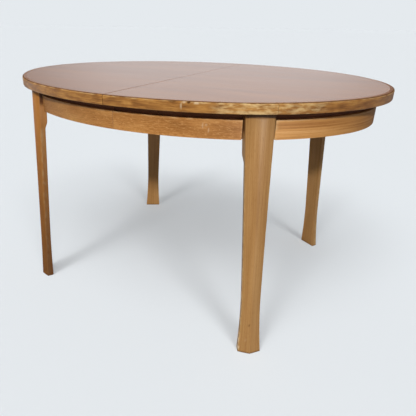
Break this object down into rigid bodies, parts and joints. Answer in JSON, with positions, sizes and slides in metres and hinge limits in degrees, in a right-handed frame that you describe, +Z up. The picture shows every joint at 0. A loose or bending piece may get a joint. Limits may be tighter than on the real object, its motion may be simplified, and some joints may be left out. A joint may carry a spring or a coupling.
{
  "type": "extending dining table",
  "caption": "Oval extending dining table in warm brown wood, with a set-back apron, ridged splayed legs, sliding runners and a folding leaf stored under the top",
  "frame": {"origin": "on the floor, under the middle of the closed top", "axes": "X along the length, the way that the halves pull apart; Y across the table; Z up"},
  "size_m": [1.28, 0.98, 0.735],
  "materials": {
    "veneered_top": "glossy lacquered veneer",
    "solid_lipping": "satin lacquered solid wood, worn arrises",
    "apron_wood": "satin lacquer, flecked grain",
    "leg_wood": "satin lacquered solid wood",
    "dark_rail": "dark matt stain",
    "beech": "bare planed beech",
    "steel": "zinc plated",
    "brass": "plain brass"
  },
  "bodies": {
    "left_half": {"left_top_panel": "veneered_top", "left_front_lipping": "solid_lipping", "left_end_lipping": "solid_lipping", "left_back_lipping": "solid_lipping", "left_front_apron": "apron_wood", "left_end_apron": "apron_wood", "left_back_apron": "apron_wood", "left_front_rail": "dark_rail", "left_end_rail": "dark_rail", "left_back_rail": "dark_rail", "left_front_leg": "leg_wood", "left_back_leg": "leg_wood", "left_front_backing_block": "beech", "left_back_backing_block": "beech", "left_leg_bolts": "steel", "left_leg_nuts": "steel", "left_top_blocks": "beech", "left_front_runner": "beech", "left_back_runner": "beech", "left_runner_packers": "beech", "left_runner_stops": "beech", "insert_leaf_lower_flap": "veneered_top", "insert_leaf_upper_flap": "veneered_top", "insert_leaf_lippings": "solid_lipping", "insert_leaf_dowels": "beech", "insert_leaf_hinges": "brass", "leaf_bearers": "beech", "lock_bases": "steel", "seam_dowels": "beech"},
    "right_half": {"right_top_panel": "veneered_top", "right_front_lipping": "solid_lipping", "right_end_lipping": "solid_lipping", "right_back_lipping": "solid_lipping", "right_front_apron": "apron_wood", "right_end_apron": "apron_wood", "right_back_apron": "apron_wood", "right_front_rail": "dark_rail", "right_end_rail": "dark_rail", "right_back_rail": "dark_rail", "right_front_leg": "leg_wood", "right_back_leg": "leg_wood", "right_front_backing_block": "beech", "right_back_backing_block": "beech", "right_leg_bolts": "steel", "right_leg_nuts": "steel", "right_top_blocks": "beech", "right_front_runner": "beech", "right_back_runner": "beech", "right_runner_packers": "beech", "right_runner_stops": "beech", "lock_keepers": "steel"},
    "front_slide": {"middle_front_runner": "beech"},
    "back_slide": {"middle_back_runner": "beech"},
    "front_lock": {"front_lock_lever": "steel"},
    "back_lock": {"back_lock_lever": "steel"}
  },
  "joints": [
    {"name": "pull_apart", "type": "slide", "parent": "left_half", "child": "right_half", "axis": [1, 0, 0], "range_m": [0, 0.41]},
    {"name": "front_slide_travel", "type": "slide", "parent": "left_half", "child": "front_slide", "axis": [1, 0, 0], "range_m": [0, 0.205]},
    {"name": "back_slide_travel", "type": "slide", "parent": "left_half", "child": "back_slide", "axis": [1, 0, 0], "range_m": [0, 0.205]},
    {"name": "front_lock_swing", "type": "hinge", "parent": "left_half", "child": "front_lock", "pos_m": [-0.016, -0.3518, 0.6996], "axis": [0, 0, 1], "range_deg": [-90, 0]},
    {"name": "back_lock_swing", "type": "hinge", "parent": "left_half", "child": "back_lock", "pos_m": [-0.016, 0.3518, 0.6996], "axis": [0, 0, 1], "range_deg": [0, 90]}
  ],
  "couplings": [
    {"joint": "front_slide_travel", "follows": "pull_apart", "ratio": 0.5},
    {"joint": "back_slide_travel", "follows": "pull_apart", "ratio": 0.5}
  ]
}
